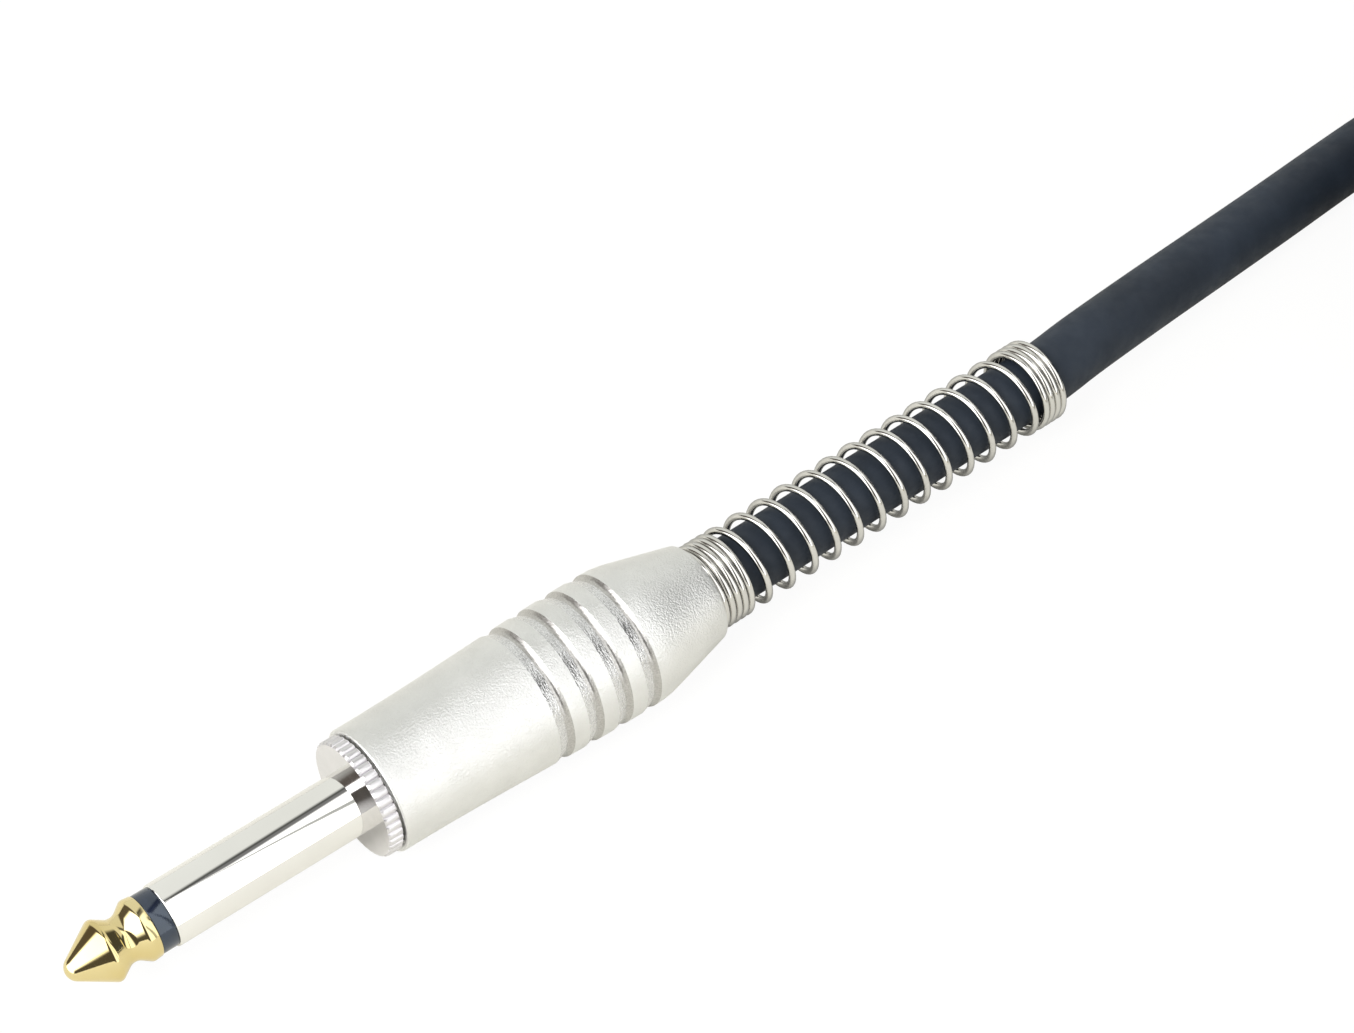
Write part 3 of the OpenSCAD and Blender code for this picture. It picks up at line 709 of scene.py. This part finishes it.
MATERIALS = {
    "gold_plate": gold_plate(),
    "dark_insulator": moulded(
        "dark insulator", (0.004, 0.006, 0.016), (0.008, 0.012, 0.028), 0.06, 0.10, IOR=1.8,
        Specular_Tint=(0.80, 0.92, 1.0, 1.0)),
    "white_insulator": moulded(
        "white insulator", (0.70, 0.69, 0.63), (0.78, 0.77, 0.71), 0.35, 0.5),
    "polished_nickel": polished_metal(
        "polished nickel", (0.84, 0.83, 0.80), (0.88, 0.87, 0.84), 0.03, 0.06),
    "tinned_brass": polished_metal(
        "tinned brass", (0.66, 0.66, 0.63), (0.76, 0.76, 0.73), 0.25, 0.4, 0.004),
    "clear_liner": moulded(
        "clear liner", (0.70, 0.71, 0.72), (0.78, 0.79, 0.80), 0.2, 0.35),
    "core_insulation": moulded(
        "core insulation", (0.72, 0.72, 0.70), (0.80, 0.80, 0.78), 0.35, 0.5),
    "copper": copper_wire(),
    "satin_nickel": satin_metal(),
    # its dark edge colour is painted shade between the coils
    "spring_nickel": polished_metal(
        "spring nickel", (0.68, 0.67, 0.64), (0.76, 0.75, 0.72), 0.03, 0.07, rim_shade_colour=(0.18, 0.18, 0.18)),
    "cable_jacket": jacket(),
    "tie_fabric": strap(),
}
# The grooves' wall and floor take darker tones than the barrel's satin: painted shade inside the grooves.
SHADED_GROOVE_WALL = groove_nickel_with_painted_shade(
    "groove wall nickel with painted shade", (0.46, 0.45, 0.43), (0.60, 0.59, 0.57), 0.28, 0.36, 0.03)
SHADED_GROOVE_FLOOR = groove_nickel_with_painted_shade(
    "groove floor nickel with painted shade", (0.62, 0.62, 0.62), (0.82, 0.82, 0.82), 0.20, 0.28, 0.08)
FACE_METAL = collar_metal(
    "collar face nickel", (0.755, 0.745, 0.755), (0.80, 0.785, 0.80), 0.07, 0.11)
KNURL_METAL = collar_metal(
    "knurled nickel", (0.70, 0.69, 0.70), (0.75, 0.735, 0.75), 0.32, 0.42)
RECORD_SLOTS = {
    entry["node"]: entry["material_slot"] for entry in frame["record"]["subparts"]
}


# ---------------------------------------------------------------- plug pieces
def arc(x, r, arc_r, start, end, steps):
    """Points round (x, r), with angles in radians from straight out, turning towards +X."""
    angles = [start + (end - start) * k / steps for k in range(steps + 1)]
    return [(x + arc_r * math.sin(a), r + arc_r * math.cos(a), 0) for a in angles]


def fall_angle(dx, dr, first_r, second_r):
    """Slope at which an outline falls from one arc straight on to the next; a hollow one is negative."""
    return math.atan2(dx, dr) - math.acos((first_r - second_r) / math.hypot(dx, dr))


def tip_mesh():
    """Round nose, cone, crisp widest line, hollow neck and rear flange, on the rod that carries them."""
    rim_r = TIP_R - TIP_EDGE_R
    nose_x = NOSE_X + NOSE_R
    neck_r = TIP_NECK_R + TIP_NECK_FILLET
    cone = fall_angle(TIP_WIDEST_X - nose_x, -rim_r, TIP_EDGE_R, NOSE_R)
    front = fall_angle(TIP_NECK_X - TIP_WIDEST_X, neck_r - rim_r, TIP_EDGE_R, -TIP_NECK_FILLET)
    rear = fall_angle(TIP_FLANGE_X - TIP_NECK_X, neck_r - rim_r, TIP_EDGE_R, -TIP_NECK_FILLET)
    outline = arc(nose_x, 0.0, NOSE_R, -math.pi / 2, -cone, NOSE_STEPS)
    outline[0] = (NOSE_X, 0.0, 0)
    outline += arc(TIP_WIDEST_X, rim_r, TIP_EDGE_R, -cone, front, WIDEST_STEPS)
    outline += arc(
        TIP_NECK_X, neck_r, TIP_NECK_FILLET, math.pi + front, math.pi - rear, NECK_STEPS)
    outline += arc(TIP_FLANGE_X, rim_r, TIP_EDGE_R, -rear, 0.0, FLANGE_STEPS)
    corners = [
        (TIP_FLANGE_X, TIP_R, 0.0, 0),
        (TIP_REAR_X, TIP_REAR_R, TIP_REAR_EDGE, 0),
        (TIP_REAR_X, ROD_R, 0.0, 0),
        (ROD_END_X, ROD_R, 0.0, 0),
        (ROD_END_X, RIVET_R, RIVET_FOOT, 0),
        (ROD_END_X + RIVET_L, RIVET_R, RIVET_EDGE, 0),
        (ROD_END_X + RIVET_L, 0.0, 0.0, 0),
    ]
    outline = outline[:-1] + filleted(corners, closed=False, steps=4)
    return lathe(
        "tip", outline, False, [MATERIALS["gold_plate"]], even_angles(ROUND_SIDES), sharp_deg=40)


def ring_insulator_mesh():
    corners = [
        (TIP_REAR_X, ROD_HOLE_R, 0.0, 0),
        (TIP_REAR_X, RING_R, RING_EDGE, 0),
        (-SLEEVE_L, RING_R, RING_EDGE, 0),
        (-SLEEVE_L, ROD_TUBE_R, 0.0, 0),
        (SPIGOT_L - SLEEVE_L, ROD_TUBE_R, 0.0, 0),
        (SPIGOT_L - SLEEVE_L, ROD_HOLE_R, 0.0, 0),
    ]
    return lathe(
        "ring_insulator", filleted(corners, closed=True, steps=3), True,
        [MATERIALS["dark_insulator"]], even_angles(ROUND_SIDES))


def knurl_angles():
    """Ring angles along every knurl tooth, and the share of the tooth's height at each."""
    step = 2 * math.pi / KNURL_TEETH
    angles, height_at = [], {}
    for tooth in range(KNURL_TEETH):
        for share, height in zip(TOOTH_PLACES, TOOTH_HEIGHTS):
            a = step * (tooth + share)
            angles.append(a)
            height_at[round(a, 6)] = height
    return angles, height_at


def thread_height(x, angle):
    """Share of the thread's depth at a place on its helix, with flats at crest and root."""
    phase = (x / THREAD_PITCH - angle / (2 * math.pi)) % 1.0
    return min(1.0, max(0.0, (abs(phase - 0.5) - THREAD_HALF_FLAT) / THREAD_FLANK))


def sleeve_mesh():
    """Shaft's sleeve with the knurled collar and the threaded boss, bored through."""
    angles, height_at = knurl_angles()
    thread_x1, thread_x2 = BOSS_THREAD_X
    steps = int((thread_x2 - thread_x1) / THREAD_PITCH * BOSS_THREAD_STEPS)
    stations = [thread_x1 + (thread_x2 - thread_x1) * i / steps for i in range(steps + 1)]
    materials = [MATERIALS["polished_nickel"], FACE_METAL, KNURL_METAL]
    plain, face, knurl = range(3)
    corners = [
        (BOSS_END_X, SLEEVE_BORE_R, 0.0, plain),
        (-SLEEVE_L, SLEEVE_BORE_R, 0.0, plain),
        (-SLEEVE_L, SHAFT_R, SLEEVE_EDGE, plain),
        (0.0, SHAFT_R, 0.0, face),
        (0.0, COLLAR_R - COLLAR_CHAMFER, 0.0, knurl),
        (COLLAR_CHAMFER, COLLAR_R, 0.0, knurl),
        (COLLAR_T - COLLAR_REAR_CHAMFER, COLLAR_R, 0.0, knurl),
        (COLLAR_T, COLLAR_R - COLLAR_REAR_CHAMFER, 0.0, face),
        (COLLAR_T, THREAD_ROOT_R, 0.0, plain),
    ]
    outline = filleted(corners, closed=False, steps=3)
    outline += [(x, THREAD_CREST_R, plain) for x in stations]
    outline += [(BOSS_END_X, THREAD_ROOT_R, plain)]

    def radius(x, r, angle):
        if r >= COLLAR_R - COLLAR_CHAMFER:
            tooth = COLLAR_R - KNURL_DEPTH * (1 - height_at[round(angle, 6)])
            return min(r, tooth)
        if r == THREAD_CREST_R:
            runout = min(1.0, (x - thread_x1) / BOSS_THREAD_RUNOUT, (thread_x2 - x) / BOSS_THREAD_RUNOUT)
            return THREAD_ROOT_R + (THREAD_CREST_R - THREAD_ROOT_R) * thread_height(x, angle) * runout
        return r

    return lathe("sleeve", outline, True, materials, angles, radius, sharp_deg=28)


def barrel_surface_r(x):
    """Radius of the barrel's outside, without its grooves."""
    ease_x = BARREL_X + BARREL_LIP
    if x <= SHOULDER_X:
        share = (x - ease_x) / (SHOULDER_X - ease_x)
        return BARREL_FRONT_R + (BARREL_R - BARREL_FRONT_R) * (1 - math.cos(math.pi * share)) / 2
    slope = math.radians(TAPER_DEG)
    taper_x = SHOULDER_X + SHOULDER_R * math.sin(slope)
    if x <= taper_x:
        return BARREL_R - SHOULDER_R + math.sqrt(SHOULDER_R ** 2 - (x - SHOULDER_X) ** 2)
    taper_r = BARREL_R - SHOULDER_R * (1 - math.cos(slope))
    return taper_r - (x - taper_x) * math.tan(slope)


def barrel_mesh():
    """Barrel with its grooves, its tapered rear and its bore, threaded at the front."""
    # the groove wall and floor finishes carry painted shade
    materials = [MATERIALS["satin_nickel"], SHADED_GROOVE_WALL, SHADED_GROOVE_FLOOR]
    satin, wall, floor = range(3)
    corners = [
        (BARREL_X, BARREL_MOUTH_R, 0.0, satin),
        (BARREL_X, BARREL_FRONT_R - BARREL_LIP, BARREL_LIP_EDGES[0], satin),
        (BARREL_X + BARREL_LIP, BARREL_FRONT_R, BARREL_LIP_EDGES[1], satin),
    ]
    for x in BARREL_STATIONS:
        if all(abs(x - groove) > GROOVE_HALF_W + GROOVE_MARGIN for groove in GROOVES_X):
            corners.append((x, barrel_surface_r(x), 0.0, satin))
    for groove in GROOVES_X:
        left, right = groove - GROOVE_HALF_W, groove + GROOVE_HALF_W
        floor_r = barrel_surface_r(groove) - GROOVE_DEPTH
        corners += [
            (left, barrel_surface_r(left), GROOVE_FRONT_EDGE, floor),
            (right - GROOVE_REAR_WALL, floor_r, GROOVE_FLOOR_BLEND, wall),
            (right, barrel_surface_r(right), GROOVE_REAR_EDGE, satin),
        ]
    corners.sort()
    corners += [
        (BARREL_END_X, BARREL_REAR_R, BARREL_REAR_EDGE, satin),
        (BARREL_END_X, NECK_BORE_R, NECK_BORE_EDGE, satin),
        (INNER_SHOULDER_X, NECK_BORE_R, 0.0, satin),
        (INNER_SHOULDER_X, BARREL_BORE_R, 0.0, satin),
        (THREAD_END_X, BARREL_BORE_R, 0.0, satin),
    ]
    outline = filleted(corners, closed=False, steps=4)
    steps = int((THREAD_END_X - BARREL_X) / THREAD_PITCH * BORE_THREAD_STEPS)
    thread_x = [
        THREAD_END_X + (THREAD_START_X - THREAD_END_X) * i / steps for i in range(steps + 1)
    ]
    outline += [(x, THREAD_BORE_R, satin) for x in thread_x]

    def radius(x, r, angle):
        if r == THREAD_BORE_R:
            runout = min(
                1.0, (THREAD_END_X - x) / BORE_THREAD_RUNOUT, (x - BARREL_X) / BORE_THREAD_RUNOUT)
            return THREAD_BORE_R + THREAD_BORE_DEPTH * (1 - thread_height(x, angle)) * runout
        return r

    return lathe(
        "barrel", outline, True, materials, even_angles(BARREL_SIDES), radius, sharp_deg=24)


def smooth_step(t):
    t = min(1.0, max(0.0, t))
    return t * t * (3 - 2 * t)


def spring_mesh():
    """Wire wound close in the barrel and at both ends of the open turns."""
    open_end_x = OPEN_START_X + OPEN_TURNS * OPEN_PITCH
    close_turns = (OPEN_START_X - SEAT_START_X) / CLOSE_PITCH
    end_turns = (SPRING_END_X - open_end_x) / CLOSE_PITCH
    seat_turns = (SEAT_END_X - SEAT_START_X) / CLOSE_PITCH
    total = close_turns + OPEN_TURNS + end_turns
    count = int(total * WIRE_RINGS_PER_TURN)
    neck_end = (BARREL_END_X - SEAT_START_X) / CLOSE_PITCH
    start_phase = OPEN_PHASE_DEG + 360 * (OPEN_START_X - OPEN_PHASE_X) / OPEN_PITCH
    path = []
    for i in range(count + 1):
        turn = total * i / count
        past = turn - close_turns
        if past < 0:
            x = OPEN_START_X + past * CLOSE_PITCH
        elif past < OPEN_TURNS:
            x = OPEN_START_X + past * OPEN_PITCH
        else:
            x = open_end_x + (past - OPEN_TURNS) * CLOSE_PITCH
        for corner, sign in ((0.0, 1), (OPEN_TURNS, -1)):
            reach = PITCH_EASE_TURNS - abs(past - corner)
            if reach > 0:
                x += sign * reach ** 2 / (4 * PITCH_EASE_TURNS) * (OPEN_PITCH - CLOSE_PITCH)
        drawn_in = smooth_step((turn - seat_turns) / SEAT_EASE_TURNS + 0.5)
        r = SEAT_COIL_R + (NECK_COIL_R - SEAT_COIL_R) * drawn_in
        r += (COIL_R - NECK_COIL_R) * smooth_step(turn - neck_end)
        a = math.radians(start_phase + 360 * past)
        lean = SPRING_LEAN * max(0.0, x - BARREL_END_X)
        path.append((x, r * math.cos(a) + lean, r * math.sin(a)))
    return sweep(
        "spring", path, WIRE_R, WIRE_SIDES, [MATERIALS["spring_nickel"]], end_round=0.25)


def add_plugs():
    """Adds the detailed pieces of both plugs and returns those of the far one."""
    meshes = {
        "tip_contact": tip_mesh(),
        "tip_ring_insulator": ring_insulator_mesh(),
        "sleeve_contact": sleeve_mesh(),
        "barrel": barrel_mesh(),
        "strain_relief_spring": spring_mesh(),
    }
    bodies = {"barrel": "barrel", "strain_relief_spring": "spring"}
    far_pieces = []
    for prefix, offset in PLUG_OFFSETS.items():
        for node, mesh in meshes.items():
            body = prefix + bodies[node] if node in bodies else ROOT
            piece = place(
                prefix + node + "_piece", mesh, body,
                [prefix + node], offset)
            if prefix:
                far_pieces.append(piece)
    return far_pieces


def dress_kept_nodes():
    """Gives each CAD node that is still shown the finish of its material slot."""
    for name, node in frame["nodes"].items():
        material = MATERIALS[RECORD_SLOTS[name]]
        if not node.material_slots:
            node.data.materials.append(material)
        for slot in node.material_slots:
            slot.material = material


# ---------------------------------------------------------------- cable and tie
def strap_line(low_y, high_y, low_z, high_z):
    """Places (y, z) round the inside of the strap, each with its outward direction (y, z)."""
    r = TIE_CORNER_R
    turns = []
    for y, z, first_deg in (
        (high_y - r, high_z - r, 0), (low_y + r, high_z - r, 90),
        (low_y + r, low_z + r, 180), (high_y - r, low_z + r, 270),
    ):
        for k in range(TIE_ARC_STEPS + 1):
            a = math.radians(first_deg + 90 * k / TIE_ARC_STEPS)
            turns.append((y + r * math.cos(a), z + r * math.sin(a), math.cos(a), math.sin(a)))
    line = []
    for here, after in zip(turns, turns[1:] + turns[:1]):
        pieces = max(1, round(math.dist(here[:2], after[:2]) / TIE_RING_SPACING))
        for n in range(pieces):
            line.append([a + (b - a) * n / pieces for a, b in zip(here, after)])
    return line


def strap_section(half, low, high, side, face):
    """Corners of a flat section, half wide to each side, bevelled by side and face."""
    return [
        (-half + side, low), (half - side, low), (half, low + face), (half, high - face),
        (half - side, high), (-half + side, high), (-half, high - face), (-half, low + face),
    ]


def add_tie():
    """Strap round the hank's waist, with its free end lying on top."""
    margin = CABLE_R + TIE_GAP - WAIST_DRAW * TIE_EDGE_WAIST
    low_y = HANK_Y - loop_r(OUTER_LOW_LOOP) - margin
    high_y = HANK_Y + loop_r(OUTER_HIGH_LOOP) + margin
    low_z = FLOOR_Z + TIE_T
    high_z = CABLE_Z + TOP_LAYER * LAYER_STEP + WAIST_LIFT + CABLE_R + TIE_GAP
    middle_x = HANK_X + RUN_L / 2
    section = strap_section(TIE_W / 2, 0.0, TIE_T, TIE_SIDE_BEVEL, TIE_FACE_BEVEL)
    section.insert(5, (0.0, TIE_T))  # middle of the outer face
    strap = [
        [(middle_x + across, y + out_y * out, z + out_z * out) for across, out in reversed(section)]
        for y, z, out_y, out_z in strap_line(low_y, high_y, low_z, high_z)
    ]
    # free end: a tongue with a rounded tip, pressed on the strap
    tongue = []
    for i in range(TONGUE_STEPS + 1):
        s = i / TONGUE_STEPS
        y = (low_y + high_y - TIE_OVERLAP) / 2 + TIE_OVERLAP * s
        rounding = max(0.0, (s - TONGUE_ROUND_FROM) / (1 - TONGUE_ROUND_FROM))
        half = TIE_W / 2 * TONGUE_WIDTH_SHARE * math.sqrt(max(TONGUE_END_SHARE, 1 - rounding ** 2))
        bottom = high_z + TIE_T + TONGUE_REST + TONGUE_WAVE * math.sin(TONGUE_WAVES_RAD * s) ** 2
        outline = strap_section(
            half, bottom, bottom + TIE_T - TONGUE_THINNING, TONGUE_SIDE_BEVEL, TONGUE_FACE_BEVEL)
        tongue.append([(middle_x + across, y, z) for across, z in outline])
    points, faces = band(strap, closed=True)
    tongue_points, tongue_faces = band(tongue, closed=False)
    faces += [tuple(len(points) + i for i in face) for face in tongue_faces]
    mesh = mesh_of(
        "tie", points + tongue_points, faces, [MATERIALS["tie_fabric"]], sharp_deg=50)
    return place("cable_tie_piece", mesh, ROOT, ["cable_tie"])


def add_cable():
    """The whole cable as one sweep, which replaces the row's run, hank and tail."""
    path = smoothed(cable_points(), CABLE_SPACING)
    mesh = sweep(
        "cable", path, CABLE_R, CABLE_SIDES, [MATERIALS["cable_jacket"]], end_round=0.1, sharp_deg=60)
    cable = place(
        "cable_piece", mesh, ROOT, ["cable_run", "cable_hank", "cable_tail"])


# ---------------------------------------------------------------- studio
def add_floor():
    """White floor that takes shadows and colours reflections, nearly plain white to the camera."""
    low, high = -FLOOR_HALF, FLOOR_HALF
    points = [(low, low, FLOOR_Z), (high, low, FLOOR_Z), (high, high, FLOOR_Z), (low, high, FLOOR_Z)]
    finish = Finish("floor", Roughness=0.9)
    finish.link(
        finish.between(finish.noise(0.002), (0.75, 0.74, 0.685), (0.76, 0.75, 0.695)), "Base Color")
    white = finish.node("ShaderNodeEmission", {"Color": (*WHITE, 1), "Strength": FLOOR_SEEN_LIGHT})
    seen = finish.node("ShaderNodeLightPath").outputs["Is Camera Ray"]
    share = finish.node("ShaderNodeMath", {0: seen, 1: FLOOR_SEEN_SHARE}, operation="MULTIPLY")
    mix = finish.node("ShaderNodeMixShader", {
        0: share.outputs[0], 1: finish.shader.outputs[0], 2: white.outputs[0],
    })
    surface = finish.tree.nodes["Material Output"].inputs["Surface"]
    finish.tree.links.new(mix.outputs[0], surface)
    mesh = mesh_of("floor", points, [(0, 1, 2, 3)], [finish.material])
    floor = bpy.data.objects.new("floor", mesh)
    bpy.context.scene.collection.objects.link(floor)


def add_world():
    """Studio seen in reflections, a plain light on matt surfaces, and white for the camera.

    The studio is made of soft panels at the back, the left and the front with dark gaps between
    them, a room on the right, a dark patch round +X and a dark gap overhead.
    """
    world = bpy.data.worlds.new("studio")
    bpy.context.scene.world = world
    world.use_nodes = True
    tree = world.node_tree
    tree.nodes.remove(tree.nodes["Background"])
    seen = add_node(tree, "ShaderNodeTexCoord").outputs["Generated"]

    def calculated(operation, *values):
        inputs = dict(enumerate(values))
        return add_node(tree, "ShaderNodeMath", inputs, operation=operation).outputs[0]

    def along(direction):
        inputs = {0: seen, 1: direction}
        return add_node(tree, "ShaderNodeVectorMath", inputs, operation="DOT_PRODUCT").outputs["Value"]

    def step(value, low, high):
        inputs = {"Value": value, "From Min": low, "From Max": high}
        node = add_node(tree, "ShaderNodeMapRange", inputs, interpolation_type="SMOOTHSTEP")
        return node.outputs["Result"]

    def even(colour):
        return add_node(tree, "ShaderNodeBackground", {"Color": (*colour, 1)})

    rightward = along((1, 0, 0))
    turn = calculated("ARCTAN2", along((0, 1, 0)), rightward)
    turn = calculated("MULTIPLY_ADD", turn, 0.5 / math.pi, 0.5)

    def round_about(stops, strength):
        """Background whose colour follows the stops round the zenith."""
        ramp = add_node(tree, "ShaderNodeValToRGB", {"Fac": turn})
        elements = ramp.color_ramp.elements
        while len(elements) < len(stops):
            elements.new(0.5)
        for element, (degrees, colour) in zip(elements, stops):
            element.position = degrees / 360 + 0.5
            element.color = (*(value / STUDIO_PEAK for value in colour), 1)
        return add_node(
            tree, "ShaderNodeBackground", {"Color": ramp.outputs["Color"], "Strength": strength})

    a = math.radians(GAP_DEGREES)
    across = along((-math.sin(a), math.cos(a), GAP_TILT))
    clear = step(calculated("ABSOLUTE", across), *GAP_SIDE)
    behind = step(along((-math.cos(a), -math.sin(a), 0)), *GAP_START)
    lit = calculated("MAXIMUM", calculated("MAXIMUM", clear, behind), GAP_LIGHT)
    studio = round_about(STUDIO, calculated("MULTIPLY", lit, STUDIO_PEAK))
    rays = add_node(tree, "ShaderNodeLightPath").outputs
    for share, shader in (
        (step(rightward, *RIGHT_EDGE), round_about(RIGHT_ROOM, STUDIO_PEAK)),
        (step(rightward, *PATCH_EDGE), even(DARK_PATCH)),
        (rays["Is Diffuse Ray"], even(PLAIN_LIGHT)),
        (rays["Is Camera Ray"], even(WHITE)),
    ):
        studio = add_node(tree, "ShaderNodeMixShader", {
            0: share, 1: studio.outputs[0], 2: shader.outputs[0],
        })
    tree.links.new(studio.outputs[0], tree.nodes["World Output"].inputs["Surface"])


def add_lamp(name, place_mm, aim_mm, size_mm, watts):
    """Round soft lamp that doesn't show in reflections."""
    lamp = bpy.data.lights.new(name, "AREA")
    lamp.shape = "DISK"
    lamp.size = size_mm * MM
    lamp.energy = watts
    holder = bpy.data.objects.new(name, lamp)
    holder.location = Vector(place_mm) * MM
    holder.rotation_euler = (Vector(aim_mm) - Vector(place_mm)).to_track_quat("-Z", "Y").to_euler()
    holder.visible_glossy = False
    bpy.context.scene.collection.objects.link(holder)


def add_studio():
    bpy.context.scene.view_settings.view_transform = "Standard"
    add_floor()
    add_world()
    add_lamp("key", KEY_MM, KEY_AIM_MM, KEY_SIZE_MM, KEY_WATTS)


add_camera()
dress_kept_nodes()
far_pieces = add_plugs()
tie = add_tie()
add_cable()
add_studio()
